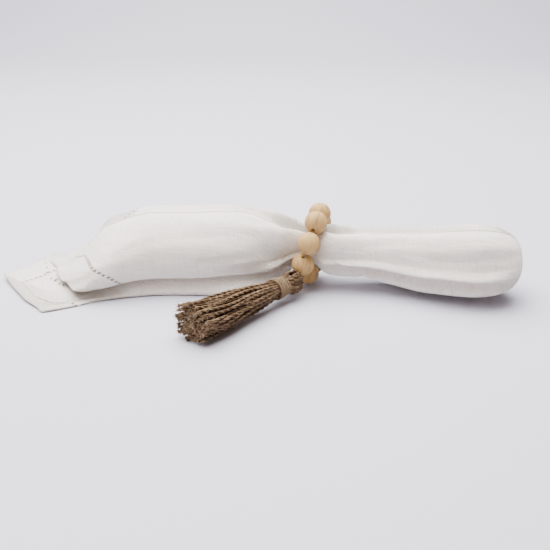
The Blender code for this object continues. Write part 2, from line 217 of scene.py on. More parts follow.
# From here on lengths are millimetres and x is counted to the right from the ring. A range says
# where a change starts and where it is complete. First the rounded tip, the fan and the hem:
TIP_X = 134
TIP_INSET = 0.4
DOME_RANGE = (108, TIP_X)
BULB_RANGE = (2, 44)
FAN_RANGE = (-8, -50)
HEM_START = -120
HEM_RANGE = (-128, -178)

# How the ring is turned and leans, and how far the tassel tugs it to one side
RING_TURN = math.radians(11)
RING_LEAN = math.radians(6.5)
RING_PINCH = 32
TUG = 4.2
TUG_ANGLE = math.radians(118)
TUG_SPREAD = math.radians(45)

# How full the folds are, and how the cloth closes and pleats at their grooves
FOLD_SHOULDER = 0.77
SOFT_GROOVE = (0.50, 0.72)
OPEN_GROOVES = ("pocket", "parting")
LIP_GAP = 0.16
PLEAT_WIDTH = 0.55
PLEAT_ROOM = 0.72
PLEAT_DEPTH = 0.94

# How creases fade towards a groove and where the cloth is thin, and how they wander and widen
CREASE_EDGE = 0.35
CREASE_RADIUS = (6, 14)
CREASE_WANDER = 0.05
CREASE_WIDENING = 0.7

# How the loose end lies: its upper layer, its flutter, two folds by the ring, and one corner
UPPER_LAYER = 2.3
HEM_FLUTTER = 1.6
FLUTTER_RANGE = (-120, -165)
FLUTTER_SCALE = (0.055, 2.6)
NECK_FOLDS = ("brow", "tuck")
NECK_RISE = 8
NECK_X = -46
NECK_SPREAD = 26
SAG_TURN = 5
SAG_REACH = 0.06
SAG_X = -145
SAG_SPREAD = 15
CORNER_LIFT = 4.2
CORNER_RANGE = (-148, -182)

# The rows and columns of the sheet's mesh
STEPS_ACROSS = 9
ROWS_BEFORE_HEM = 104
ROWS_IN_HEM = 34
ROW_CROWDING = 0.06
HEM_SHARE = 0.99

# Sections of the gathered cloth: x, mid y, mid z, front, back and half height, in millimetres
SECTIONS = (
    (134, -22.5, 25.4, 0.6, 0.6, 0.6),
    (132, -22.5, 25.3, 11, 11, 9.5),
    (127, -22.5, 25.2, 19.8, 19.8, 17.2),
    (121, -22.4, 25, 24, 24, 21),
    (115, -22.2, 24.7, 27, 27, 23.4),
    (103, -22, 24.6, 28.7, 28.7, 24.9),
    (91, -20.4, 24, 28, 28, 24.3),
    (79, -16.9, 23.2, 26.7, 26.7, 23.2),
    (67, -13.3, 22.3, 25.3, 25.3, 22),
    (49, -6.1, 22.3, 22.5, 22.5, 19.6),
    (32, -3, 23.8, 20, 20, 17.6),
    (14, -2.5, 26, 18, 18, 17),
    (8, -1, 27.8, 15.2, 15.2, 15.2),
    (4, 0, 28.3, 12.7, 12.7, 12.7),
    (0, 0, 28.3, 12, 12, 12),
    (-4, 0, 28.3, 12.3, 12.3, 12.3),
    (-8, 0, 28, 13.2, 14.4, 14.2),
    (-14, 0.6, 27, 16.8, 19, 18),
    (-20, 1, 26.2, 22.5, 24, 21.2),
    (-30, 2.5, 25.6, 26.5, 28, 24),
    (-54, 7, 25.4, 32, 32, 26),
    (-80, 10, 24.6, 34, 33, 25),
    (-103, 12, 24.4, 36, 33, 24.5),
    (-114, 13, 24, 39, 32, 24),
    (-126, 15, 22, 44, 31, 22),
    (-136, 18, 20, 51, 28, 20),
    (-144, 21, 17.8, 58, 25, 17.8),
    (-150, 25, 14.8, 67, 22, 14.8),
    (-163, 35, 9.6, 85, 14, 9.6),
    (-177, 46, 6.2, 102, 8, 6.2),
    (-190, 58, 4.6, 107, 6, 4.6),
    (-212, 70, 5.2, 96, 5, 5.2),
)

# Folds, crest and groove in turn: name, angles in the bulb, ring, fan and hem, then reaches
FOLDS = (
    ("shoulder", 58, 50, 62, 52, 1, 1, 1.05, 0.60),
    ("pocket", 7, -14, 15, -6, 0.80, 0.64, 1.04, 0.56),
    ("brow", -8, -24, -27, -34, 0.97, 0.94, 1.06, 0.80),
    ("tuck", -20, -34, -37, -42, 0.64, 0.60, 0.28, 0.20),
    ("heel", -42, -68, -47, -47, 1, 1, 1.37, 1.37),
    ("arch", -82, -95, -74, -74, 0.70, 0.60, 0.55, 0.55),
    ("sole", -104, -122, -104, -104, 1.08, 1, 1.10, 1.10),
    ("rear_arch", -140, -148, -130, -130, 0.70, 0.60, 0.55, 0.55),
    ("rear_low", -170, -174, -158, -158, 1, 1, 1.05, 1.05),
    ("rear_groove", -200, -200, -190, -190, 0.70, 0.60, 0.55, 0.55),
    ("rear_high", -228, -226, -218, -218, 1, 1, 1, 1),
    ("nape", -248, -250, -240, -240, 0.70, 0.60, 0.60, 0.60),
    ("crown", -268, -275, -257, -257, 1, 1, 1.03, 1.03),
    ("parting", -285, -292, -275, -275, 0.96, 0.64, 0.93, 0.80),
)

# How far left the hem lies, in millimetres, by a place counted along the folds
HEM = (
    (0, -176), (1, -165), (2, -152), (2.67, -140), (2.99, -138), (3.01, -183), (3.34, -213),
    (3.67, -178), (4, -171), (4.5, -162), (5, -146), (7, -158), (9, -134), (10, -146),
    (12, -140), (13, -150), (13.66, -185), (14, -176),
)

# The hidden pleats beside each groove: how many pleat widths to the side, and reach
PLEATS = ((0, 0.45), (0, 0.26), (2.5, 0.24), (3.0, 0.44), (3.4, 0.64), (5.4, 0.64), (5.8, 0.42),
          (6.2, 0.20), (8.2, 0.20), (8.8, 0.42), (9.2, 0.62), (11.2, 0.60), (11.6, 0.38), (12, 0.13))


def ease(start, stop, value):
    """Return 0 before start, 1 after stop and a smooth blend between."""
    share = min(max((value - start) / (stop - start), 0), 1)
    return share * share * (3 - 2 * share)


def section_at(x):
    """Return the mid point and half sizes of the gathered cloth at x."""
    x = min(max(x, SECTIONS[-1][0]), SECTIONS[0][0])
    index = 0
    while index < len(SECTIONS) - 2 and x < SECTIONS[index + 1][0]:
        index += 1
    before = SECTIONS[max(index - 1, 0)]
    start = SECTIONS[index]
    stop = SECTIONS[index + 1]
    after = SECTIONS[min(index + 2, len(SECTIONS) - 1)]
    length = stop[0] - start[0]
    share = (x - start[0]) / length
    square = share * share
    cube = square * share
    values = []
    for column in range(1, len(start)):
        slope_in = (stop[column] - before[column]) / (stop[0] - before[0])
        slope_out = (after[column] - start[column]) / (after[0] - start[0])
        values.append(start[column] * (2 * cube - 3 * square + 1)
                      + stop[column] * (3 * square - 2 * cube)
                      + length * slope_in * (cube - 2 * square + share)
                      + length * slope_out * (cube - square))
    return values


def bell(x, middle, spread):
    """Return 1 at the middle, falling off smoothly to both sides."""
    return math.exp(-((x - middle) / spread) ** 2)


def fold_name(index):
    """Return the name of a fold, counted on round the cloth."""
    return FOLDS[index % len(FOLDS)][0]


def fold_at(index, x):
    """Return a fold's angle and reach at x, blended from bulb to ring, fan and hem."""
    row = FOLDS[index % len(FOLDS)]
    bulb = ease(*BULB_RANGE, x)
    fan = ease(*FAN_RANGE, x)
    hem = ease(*HEM_RANGE, x)
    shares = (bulb, 1 - bulb - fan, fan - hem, hem)
    angle = sum(share * value for share, value in zip(shares, row[1:5]))
    reach = sum(share * value for share, value in zip(shares, row[5:9]))
    if row[0] in NECK_FOLDS:
        angle += NECK_RISE * bell(x, NECK_X, NECK_SPREAD)
        sag = bell(x, SAG_X, SAG_SPREAD)
        angle -= SAG_TURN * sag
        reach += SAG_REACH * sag
    dome = ease(*DOME_RANGE, x)
    return math.radians(angle - 360 * (index // len(FOLDS))), reach + (1 - reach) * dome


def hem_at(place):
    """Return how far left the cloth reaches at a place among the folds."""
    place %= len(FOLDS)
    for start, stop in zip(HEM, HEM[1:]):
        if place <= stop[0]:
            share = (place - start[0]) / (stop[0] - start[0])
            return start[1] + (stop[1] - start[1]) * share
    return HEM[-1][1]


# Soft troughs and ridges, listed one by one: where each starts and stops, as x and angle,
# then its half width and its rise, in millimetres, below 0 for a trough
CREASES = (
    (6, 34, 66, 46, 1.8, -0.75), (5, 22, 44, 31, 1.3, -0.55), (10, 14, 84, 26, 2.4, 0.70),
    (30, 33, 112, 38, 3.4, 0.50), (8, 56, 58, 64, 2.0, -0.75), (8, 70, 92, 76, 2.6, -0.60),
    (12, 86, 70, 92, 2.2, -0.60), (40, 62, 118, 56, 4.0, 0.50), (58, 8, 128, 18, 2.2, 0.55),
    (52, -8, 116, -14, 2.2, -0.55), (24, -20, 92, -30, 2.0, -0.60), (44, -30, 122, -40, 2.6, 0.55),
    (8, -40, 50, -52, 1.6, -0.60), (84, 4, 131, -4, 2.0, -0.70), (90, 34, 131, 20, 2.4, -0.55),
    (74, -52, 126, -44, 3.0, -0.50), (98, 62, 131, 44, 2.6, -0.50), (70, 88, 124, 80, 3.2, 0.50),
    (-8, 30, -60, 44, 1.6, -0.80), (-9, 18, -42, 24, 1.2, -0.60), (-9, 6, -66, 14, 1.6, -0.80),
    (-10, -4, -56, -2, 1.8, 0.60), (-10, -8, -70, -20, 5.0, -1.6), (-16, 40, -96, 58, 3.2, 0.70),
    (-12, 56, -72, 72, 1.8, -0.70), (-18, 66, -100, 84, 3.0, 0.60), (-10, 80, -64, 96, 2.0, -0.75),
    (-40, 30, -112, 36, 3.0, -0.55), (-60, 4, -124, 8, 2.6, -0.60), (-34, -20, -118, -18, 2.4, 0.55),
    (-70, 48, -128, 46, 3.4, -0.50), (-84, 66, -134, 74, 3.4, -0.60), (-52, 92, -128, 98, 3.0, -0.60),
    (-90, 22, -140, 14, 3.0, 0.55), (-104, -2, -150, -14, 2.6, -0.60), (-96, 40, -146, 30, 2.6, 0.50),
    (-20, -48, -96, -52, 2.4, -0.55), (-60, -56, -140, -58, 2.8, 0.50), (12, 130, 90, 138, 2.4, -0.55),
    (-30, 110, -110, 120, 2.6, -0.60), (-12, 134, -80, 140, 2.2, -0.60), (20, 110, 100, 116, 2.6, -0.55),
    (-14, 160, -96, 164, 2.4, -0.60), (16, 156, 110, 160, 2.6, -0.55), (10, -76, 90, -84, 2.4, -0.50),
    (96, 48, 133, 60, 2.2, -0.90), (102, 18, 133, 34, 1.8, -0.80), (100, -20, 133, -34, 2.2, -0.90),
    (104, -2, 133, 8, 1.8, 0.80), (100, 80, 133, 96, 2.4, -0.80), (98, -60, 133, -70, 2.2, -0.80),
    (100, 116, 133, 130, 2.6, -0.80), (16, 44, 90, 50, 3.4, -0.60), (22, 26, 100, 24, 3.2, -0.55),
    (-9, 10, -88, -2, 3.4, -1.00), (-12, 44, -120, 66, 4.0, 0.90), (-30, 16, -118, 22, 4.2, 0.70),
    (34, -26, 124, -31, 4.6, -1.6), (64, 22, 132, 30, 3.4, -1.5), (56, -9, 131, -4, 2.2, 1.1),
    (12, -16, 50, -66, 2.4, -2.6), (84, 44, 131, 40, 3.0, 0.8),
    (-88, 30, -150, 22, 2.4, -0.80), (-112, 8, -158, 2, 2.2, -0.70), (-100, 56, -150, 60, 2.6, -0.70),
)


def crease_at(x, angle, radius):
    """Return how far the creases lift or sink the cloth at x and angle."""
    rise = 0
    for start_x, start_angle, stop_x, stop_angle, width, height in CREASES:
        share = (x - start_x) / (stop_x - start_x)
        if not 0 < share < 1:
            continue
        middle = math.radians(start_angle + (stop_angle - start_angle) * ease(0, 1, share))
        middle += CREASE_WANDER * math.sin(9 * share + start_x)
        across = math.remainder(angle - middle, 2 * math.pi) * radius
        spread = width * (1 + CREASE_WIDENING * (share - 0.5))
        if abs(across) < 3 * spread:
            ends = min(share * 5, 1) * math.sin(math.pi * min(max(share, 0.5), 1))
            rise += height * ends * bell(across, 0, spread)
    return rise


def tug_at(angle):
    """Return how far the tassel pulls the ring sideways at an angle."""
    return TUG * bell(angle, TUG_ANGLE, TUG_SPREAD)


def place_on(x, angle, reach, low):
    """Return the point of the table frame for an angle and reach at x."""
    mid_y, mid_z, front, back, half_height = section_at(x)
    half_width = front if math.cos(angle) > 0 else back
    y = mid_y - half_width * reach * math.cos(angle)
    z = max(mid_z + half_height * reach * math.sin(angle), low)
    wave = noise.noise(Vector((x * FLUTTER_SCALE[0], angle * FLUTTER_SCALE[1], 4)))
    z = max(z + HEM_FLUTTER * ease(*FLUTTER_RANGE, x) * wave, low)
    tilt = y * math.tan(RING_TURN) + (z - RING_HEIGHT) * math.tan(RING_LEAN)
    tilt -= tug_at(math.atan2(-y, z - RING_HEIGHT))
    return Vector((x + bell(x, 0, RING_PINCH) * tilt, y, z)) * MM + RING_FOOT


def lip_at(wall, groove_reach, girth):
    """Return the angle by which the cloth's two sides stay apart at a closed groove."""
    return min(LIP_GAP / (groove_reach * girth), wall / 3)


def skin_point(x, crest, groove, share):
    """Return a point of the visible cloth between a crest and a groove."""
    crest_angle, crest_reach = fold_at(crest, x)
    groove_angle, groove_reach = fold_at(groove, x)
    front, back, half_height = section_at(x)[2:]
    if fold_name(groove) not in OPEN_GROOVES:
        lip = lip_at(abs(groove_angle - crest_angle), groove_reach, front + half_height)
        groove_angle += math.copysign(lip, crest_angle - groove_angle)
    soft = ease(*SOFT_GROOVE, groove_reach / crest_reach)
    across = soft * share + (1 - soft) * math.sin(share * math.pi / 2) ** FOLD_SHOULDER
    out = (soft * (0.5 + 0.5 * math.cos(share * math.pi))
           + (1 - soft) * max(math.cos(share * math.pi / 2), 0) ** FOLD_SHOULDER)
    angle = crest_angle + (groove_angle - crest_angle) * across
    reach = groove_reach + (crest_reach - groove_reach) * out
    radius = (front + half_height) / 2
    fade = ease(0, CREASE_EDGE, 1 - share) * ease(*CREASE_RADIUS, radius)
    reach += fade * crease_at(x, angle, radius) / radius
    on_heel = fold_name(crest) == "heel"
    low = 0
    if on_heel and (share == 0 or groove < crest):
        low = UPPER_LAYER * min(0.12 + share * 2.2, 1)
    point = place_on(x, angle, reach, low)
    if on_heel and groove < crest:
        point.z += CORNER_LIFT * ease(0.5, 1, share) * ease(*CORNER_RANGE, x) * MM
    return point


def pleat_point(x, crest, groove, step, depth):
    """Return a point of a hidden pleat, beside a groove on the side of a crest."""
    crest_angle = fold_at(crest, x)[0]
    groove_angle, groove_reach = fold_at(groove, x)
    front, back, half_height = section_at(x)[2:]
    girth = front + half_height
    wall = abs(groove_angle - crest_angle)
    width = min(2 * PLEAT_WIDTH / girth, PLEAT_ROOM * wall / PLEATS[-1][0])
    aside = lip_at(wall, groove_reach, girth) + width * step
    angle = groove_angle + math.copysign(aside, crest_angle - groove_angle)
    return place_on(x, angle, min(depth, groove_reach * PLEAT_DEPTH), 0)


# The lines of the cloth from its rounded middle to the hem, all the way round the folds
napkin_lines = []
for crest in range(0, len(FOLDS), 2):
    for side in (-1, 1):
        groove = crest + side
        skin = [("skin", crest, groove, step / STEPS_ACROSS, 0)
                for step in range(1 if side < 0 else 0, STEPS_ACROSS + 1)]
        pleat = [("pleat", crest, groove, step, depth) for step, depth in PLEATS]
        if fold_name(groove) in OPEN_GROOVES:
            pleat = []
            skin = skin[:-1] if side > 0 else skin
        lines = skin + pleat
        napkin_lines += reversed(lines) if side < 0 else lines
napkin_rows = []
for row in range(ROWS_BEFORE_HEM + 1):
    share = row / ROWS_BEFORE_HEM
    share += ROW_CROWDING * math.sin(math.pi * share * 2) ** 3
    napkin_rows.append(max(TIP_X - TIP_INSET + (HEM_START - TIP_X) * share, HEM_START))

cloth = bmesh.new()
cloth_place = cloth.verts.layers.float_vector.new("cloth_place")
hem_band = cloth.verts.layers.deform.new()
columns = []
for kind, crest, groove, first, second in napkin_lines:
    share = first if kind == "skin" else 1
    hem = hem_at(crest + (groove - crest) * share * HEM_SHARE)
    hem_rows = [HEM_START + (hem - HEM_START) * row / ROWS_IN_HEM for row in range(1, ROWS_IN_HEM + 1)]
    column = []
    for x in napkin_rows + hem_rows:
        if kind == "skin":
            column.append(cloth.verts.new(skin_point(x, crest, groove, first)))
        else:
            column.append(cloth.verts.new(pleat_point(x, crest, groove, first, second)))
    columns.append(column)
tip_y, tip_z = section_at(TIP_X)[:2]
tip = cloth.verts.new(Vector((TIP_X, tip_y, tip_z)) * MM + RING_FOOT)
for column, following in zip(columns, columns[1:] + columns[:1]):
    cloth.faces.new((tip, column[0], following[0]))
    for row in range(len(column) - 1):
        cloth.faces.new((column[row], column[row + 1], following[row + 1], following[row]))


STRETCH = 0.38
STRETCH_PLACE = 0.6
STRETCH_SPREAD = 1.5


def hem_stretch(place):
    """Return how much wider the hem is at a place, where it hangs down over the fold."""
    return 1 + STRETCH * bell(math.remainder(place - STRETCH_PLACE, len(FOLDS)), 0, STRETCH_SPREAD)


# Each point keeps its place on the flat cloth: along it, round it, and its distance to the hem
stitch_line = []
round_place = [0.0] * len(columns[0])
previous = columns[0]
for (kind, crest, groove, first, second), column in zip(napkin_lines, columns):
    stretch = hem_stretch(crest + (groove - crest) * (first if kind == "skin" else 1))
    lengths = [0.0]
    for start, stop in zip(column, column[1:]):
        lengths.append(lengths[-1] + (stop.co - start.co).length)
    for row, vert in enumerate(column):
        round_place[row] += (vert.co - previous[row].co).length
        to_hem = (lengths[-1] - lengths[row]) / stretch
        vert[cloth_place] = (lengths[row], round_place[row], to_hem)
        single = ease(HEM_WIDTH - TURNING, HEM_WIDTH + TURNING, to_hem)
        vert[hem_band][0] = 1 + (SINGLE_SHARE - 1) * single
    inner = lengths[-1] - HEM_WIDTH * stretch
    row = max(row for row in range(len(column)) if lengths[row] <= inner)
    share = (inner - lengths[row]) / (lengths[row + 1] - lengths[row])
    stitch_line.append((column[row].co.lerp(column[row + 1].co, share),
                        (column[row + 1].co - column[row].co).normalized()))
    previous = column
napkin_mesh = bpy.data.meshes.new("napkin_cloth")
cloth.to_mesh(napkin_mesh)
cloth.free()
napkin_mesh.shade_smooth()
napkin = add_object("napkin_cloth", napkin_mesh)
napkin.vertex_groups.new(name="hem_band")
thickness = napkin.modifiers.new("thickness", "SOLIDIFY")
thickness.thickness = THREAD_SHEET / SINGLE_SHARE
thickness.offset = -1
thickness.vertex_group = "hem_band"


def add_math(nodes, links, operation, *terms):
    """Add one step of arithmetic on sockets and plain numbers, and return its value."""
    step = add_node(nodes, "ShaderNodeMath", operation=operation)
    for socket, term in zip(step.inputs, terms):
        if isinstance(term, (int, float)):
            socket.default_value = term
        else:
            links.new(term, socket)
    return step.outputs["Value"]


def add_weave(nodes, links, split, pitch):
    """Add a plain weave of threads both ways on the cloth, as a height from -1 to 1."""
    waves = [add_math(nodes, links, "SINE",
                      add_math(nodes, links, "MULTIPLY", split.outputs[axis], math.pi / pitch))
             for axis in ("X", "Y")]
    return add_math(nodes, links, "MULTIPLY", *waves)


def add_bump(nodes, links, height, strength, distance, normal=None):
    """Add a bump of a height, over an earlier bump where there is one."""
    bump = add_node(nodes, "ShaderNodeBump", strength=strength, distance=distance)
    links.new(height, bump.inputs["Height"])
    if normal is not None:
        links.new(normal, bump.inputs["Normal"])
    return bump.outputs["Normal"]


def multiply_colours(nodes, links, first, second, factor=1.0):
    """Multiply a colour by a second one, as far as the factor says."""
    blend = add_node(nodes, "ShaderNodeMix", data_type="RGBA", blend_type="MULTIPLY")
    for name, term in (("Factor", factor), ("A", first), ("B", second)):
        if isinstance(term, (float, tuple)):
            blend.inputs[name].default_value = term
        else:
            links.new(term, blend.inputs[name])
    return blend.outputs["Result"]


# Linen: slightly warm white, each thread a little uneven, with thicker slubs here and there
THREAD_PITCH = 0.55 * MM
THREAD_RELIEF = 0.3
linen, nodes, links, shader = new_material("bleached_linen")
on_cloth = add_node(nodes, "ShaderNodeAttribute", attribute_name="cloth_place").outputs["Vector"]
split = nodes.new("ShaderNodeSeparateXYZ")
links.new(on_cloth, split.inputs["Vector"])
weave = add_weave(nodes, links, split, THREAD_PITCH)
slub_both = [add_noise(nodes, links, on_cloth, scale, detail=2.0, roughness=0.6)
             for scale in ((90, 800, 1), (800, 90, 1))]
slubs = add_math(nodes, links, "ADD", *slub_both)
threads = add_math(nodes, links, "MULTIPLY_ADD", weave, THREAD_RELIEF, slubs)

# Soft rumples, longer along the gathers than across them
rumple = add_noise(nodes, links, on_cloth, (16, 85, 1), detail=3.0, roughness=0.5)
rumpled = add_bump(nodes, links, rumple, 0.8, 1.8 * MM)
threaded = add_bump(nodes, links, threads, 0.9, 0.6 * MM, rumpled)
# The threads' colour follows their height: painted shade where the weave dips, and lighter and darker
# along the uneven slubs
weave_shade_and_slub_tone = add_ramp(nodes, [(0.66, (0.81, 0.73, 0.645)), (0.98, (0.99, 0.932, 0.865))],
                       threads, links)
mottle = add_noise(nodes, links, on_cloth, (30, 30, 30), detail=4.0)
wash = add_ramp(nodes, [(0.3, (0.955, 0.945, 0.93)), (0.7, (1.0, 1.0, 1.0))], mottle, links)
washed = multiply_colours(nodes, links, weave_shade_and_slub_tone, wash)

# Along the hem's inner edge the drawn threads leave a more open row, painted darker: painted shade for
# what shows through its gaps
DRAWN_HALF = 1.15 * MM
DRAWN_ROW_PAINTED_SHADE = (0.33, 0.28, 0.24, 1)
from_row = add_math(nodes, links, "SUBTRACT", split.outputs["Z"], HEM_WIDTH)
drawn = add_node(nodes, "ShaderNodeMapRange", interpolation_type="SMOOTHSTEP", from_min=DRAWN_HALF * 0.6,
                 from_max=DRAWN_HALF, to_min=1.0, to_max=0.0)
links.new(add_math(nodes, links, "ABSOLUTE", from_row), drawn.inputs["Value"])
open_row_painted_shade = multiply_colours(nodes, links, washed, DRAWN_ROW_PAINTED_SHADE, drawn.outputs["Result"])
set_finish(links, shader, open_row_painted_shade, threaded, rough=0.92, shine=0.2, sheen=0.25, sheen_rough=0.5)
napkin_mesh.materials.append(linen)

# The hemstitch: along the hem's inner edge the threads that run with it are drawn out, and those
# that are left across the row are tied in small bundles with a fine linen thread.
BUNDLE_PITCH = 3.3 * MM
BUNDLE_SIZE = (1.35 * MM, 0.62 * MM, 0.34 * MM)
BUNDLE_LIFT = 0.12 * MM
stitch_points = []
stitch_edges = []
stitch_out = []
stitch_across = []
for index, (kind, crest, groove, first, second) in enumerate(napkin_lines):
    if kind != "skin":
        continue
    point, across = stitch_line[index]
    along = stitch_line[(index + 1) % len(stitch_line)][0] - stitch_line[index - 1][0]
    out = across.cross(along).normalized()
    if stitch_points and napkin_lines[index - 1][0] == "skin":
        stitch_edges.append((len(stitch_points) - 1, len(stitch_points)))
    stitch_points.append(point + out * BUNDLE_LIFT)
    stitch_out += [*out]
    stitch_across += [*across]
stitch_mesh = bpy.data.meshes.new("stitch_line")
stitch_mesh.from_pydata(stitch_points, stitch_edges, [])
for name, values in (("cloth_out", stitch_out), ("cloth_across", stitch_across)):
    stitch_mesh.attributes.new(name, "FLOAT_VECTOR", "POINT").data.foreach_set("vector", values)
stitch_guide = add_object("stitch_line", stitch_mesh)


def new_tree(title, sizes, result):
    """Start a tree that gets loose lines and named sizes and gives out one shape."""
    tree = bpy.data.node_groups.new(title, "GeometryNodeTree")
    for name, kind in [("Lines", "Geometry")] + sizes:
        tree.interface.new_socket(name, in_out="INPUT", socket_type="NodeSocket" + kind)
    tree.interface.new_socket(result, in_out="OUTPUT", socket_type="NodeSocketGeometry")
    start = tree.nodes.new("NodeGroupInput")
    curve = tree.nodes.new("GeometryNodeMeshToCurve")
    tree.links.new(start.outputs["Lines"], curve.inputs["Mesh"])
    return tree, tree.nodes, tree.links, start.outputs, curve.outputs["Curve"]


def end_tree(tree, shape, material):
    """End a tree: its shape is made one plain mesh, painted and given out."""
    realize = tree.nodes.new("GeometryNodeRealizeInstances")
    paint = tree.nodes.new("GeometryNodeSetMaterial")
    paint.inputs["Material"].default_value = material
    finish = tree.nodes.new("NodeGroupOutput")
    tree.links.new(shape, realize.inputs["Geometry"])
    tree.links.new(realize.outputs["Geometry"], paint.inputs["Geometry"])
    tree.links.new(paint.outputs["Geometry"], finish.inputs[0])
    return tree


def even_points(nodes, links, curve, length):
    """Set points along a line at even lengths."""
    resample = add_node(nodes, "GeometryNodeResampleCurve", mode="LENGTH")
    links.new(curve, resample.inputs["Curve"])
    links.new(length, resample.inputs["Length"])
    return resample.outputs["Curve"]


def read_attribute(nodes, kind, name):
    """Read an attribute of the lines in a tree."""
    reader = add_node(nodes, "GeometryNodeInputNamedAttribute", data_type=kind)
    reader.inputs["Name"].default_value = name
    return reader.outputs["Attribute"]


def run_tree(guide, tree, values, name):
    """Run a tree on a guide with values for its named inputs, and keep the result as a mesh."""
    modifier = guide.modifiers.new("tree", "NODES")
    modifier.node_group = tree
    sockets = {item.name: item.identifier for item in tree.interface.items_tree}
    for title, value in values.items():
        modifier[sockets[title]] = value
    evaluated = guide.evaluated_get(bpy.context.evaluated_depsgraph_get())
    mesh = bpy.data.meshes.new_from_object(evaluated)
    mesh.name = name
    bpy.data.objects.remove(guide)
    return add_object(name, mesh)


def bundle_tree(material):
    """Build a tree that sets thread bundles along loose lines, each across the line."""
    sizes = [("Bundle Pitch", "Float"), ("Bundle Size", "Vector")]
    tree, nodes, links, start, curve = new_tree("hemstitch", sizes, "Bundles")
    spots = even_points(nodes, links, curve, start["Bundle Pitch"])
    upright = add_node(nodes, "FunctionNodeAlignRotationToVector", axis="Z", pivot_axis="AUTO")
    links.new(read_attribute(nodes, "FLOAT_VECTOR", "cloth_out"), upright.inputs["Vector"])
    turn = add_node(nodes, "FunctionNodeAlignRotationToVector", axis="X", pivot_axis="Z")
    links.new(read_attribute(nodes, "FLOAT_VECTOR", "cloth_across"), turn.inputs["Vector"])
    links.new(upright.outputs["Rotation"], turn.inputs["Rotation"])
    ball = add_node(nodes, "GeometryNodeMeshUVSphere", segments=8, rings=5, radius=1)
    smooth = nodes.new("GeometryNodeSetShadeSmooth")
    links.new(ball.outputs["Mesh"], smooth.inputs["Geometry"])
    uneven = add_node(nodes, "FunctionNodeRandomValue", data_type="FLOAT", seed=5)
    uneven.inputs[2].default_value = 0.8
    uneven.inputs[3].default_value = 1.15
    size = add_node(nodes, "ShaderNodeVectorMath", operation="SCALE")
    links.new(start["Bundle Size"], size.inputs["Vector"])
    links.new(uneven.outputs[1], size.inputs["Scale"])
    place = nodes.new("GeometryNodeInstanceOnPoints")
    links.new(spots, place.inputs["Points"])
    links.new(smooth.outputs["Geometry"], place.inputs["Instance"])
    links.new(turn.outputs["Rotation"], place.inputs["Rotation"])
    links.new(size.outputs["Vector"], place.inputs["Scale"])
    return end_tree(tree, place.outputs["Instances"], material)


# The sewing thread: bleached linen too, twisted, a little brighter than the cloth
sewing_thread, nodes, links, shader = new_material("sewing_thread")
place = add_node(nodes, "ShaderNodeTexCoord").outputs["Object"]
twist = add_noise(nodes, links, place, 1800.0, detail=2.0)
thread_colour = add_ramp(nodes, [(0.35, (0.76, 0.72, 0.66)), (0.65, (0.93, 0.91, 0.88))], twist, links)
set_finish(links, shader, thread_colour, add_bump(nodes, links, twist, 0.5, 0.1 * MM), rough=0.8)
bundles = run_tree(stitch_guide, bundle_tree(sewing_thread),
                   {"Bundle Pitch": BUNDLE_PITCH, "Bundle Size": BUNDLE_SIZE}, "hemstitch")
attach(bundles, "root")

# Where two rows of drawn threads meet in the corner, larger holes are whipped round with thread:
# the place among the folds, x and radius in millimetres
CORNER_HOLES = (
    (3.17, -181.5, 1.35), (3.21, -177, 0.8), (3.225, -173.6, 1.1), (3.26, -170, 0.7),
    (3.28, -167, 0.95), (3.125, -183.5, 0.8), (3.09, -186, 0.6), (3.06, -188.5, 0.65),
)
HOLE_FOLD = (4, 3)
HOLE_STRETCH = 1.7
HOLE_WOBBLE = 0.16
HOLE_SIDES = 14
HOLE_LIFT = 0.02 * MM
RIM_SIDES = 5
RIM_RADIUS = 0.2 * MM
hole_shape = bmesh.new()
for place, x, size in CORNER_HOLES:
    share = HOLE_FOLD[0] - place
    middle = skin_point(x, *HOLE_FOLD, share)
    along = (skin_point(x - 2, *HOLE_FOLD, share) - middle).normalized()
    aside = (skin_point(x, *HOLE_FOLD, share + 0.02) - middle).normalized()
    out = along.cross(aside).normalized()
    out = out if out.z > 0 else -out
    aside = out.cross(along)
    rows = []
    for side in range(HOLE_SIDES):
        around = 2 * math.pi * side / HOLE_SIDES
        heading = along * math.cos(around) + aside * HOLE_STRETCH * math.sin(around)
        wobble = 1 + HOLE_WOBBLE * math.sin(3 * around + x)
        row = []
        for step in range(RIM_SIDES):
            lean = 2 * math.pi * step / RIM_SIDES
            row.append(hole_shape.verts.new(
                middle + heading * (size * MM * wobble + RIM_RADIUS * math.cos(lean))
                + out * RIM_RADIUS * (math.sin(lean) + 0.9)))
        rows.append(row)
    for row, following in zip(rows, rows[1:] + rows[:1]):
        for step in range(RIM_SIDES):
            after = (step + 1) % RIM_SIDES
            hole_shape.faces.new((row[step], row[after], following[after], following[step]))
    # Under each rim lies a flat dark disc of painted shade, standing in for the shade seen through the
    # hole
    shade_disc_edge = [hole_shape.verts.new(middle + (row[0].co - middle) * 0.9 + out * HOLE_LIFT)
                  for row in rows]
    hole_shape.faces.new(shade_disc_edge).material_index = 1
bmesh.ops.recalc_face_normals(hole_shape, faces=hole_shape.faces)
hole_mesh = bpy.data.meshes.new("corner_holes")
hole_shape.to_mesh(hole_mesh)
hole_shape.free()
hole_mesh.shade_smooth()
# The discs are near black with a faint random mottle: painted shade, not a colour of the cloth
hole_painted_shade, nodes, links, shader = new_material("hole_painted_shade")
place = add_node(nodes, "ShaderNodeTexCoord").outputs["Object"]
shade_mottle = add_noise(nodes, links, place, 2600.0, detail=2.0)
hole_shade_tint = add_ramp(nodes, [(0.35, (0.04, 0.033, 0.027)), (0.7, (0.13, 0.11, 0.09))], shade_mottle, links)
set_finish(links, shader, hole_shade_tint, rough=0.95)
hole_mesh.materials.append(sewing_thread)
hole_mesh.materials.append(hole_painted_shade)
corner_holes = add_object("corner_holes", hole_mesh)
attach(corner_holes, "root")

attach(napkin, "root")
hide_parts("napkin")


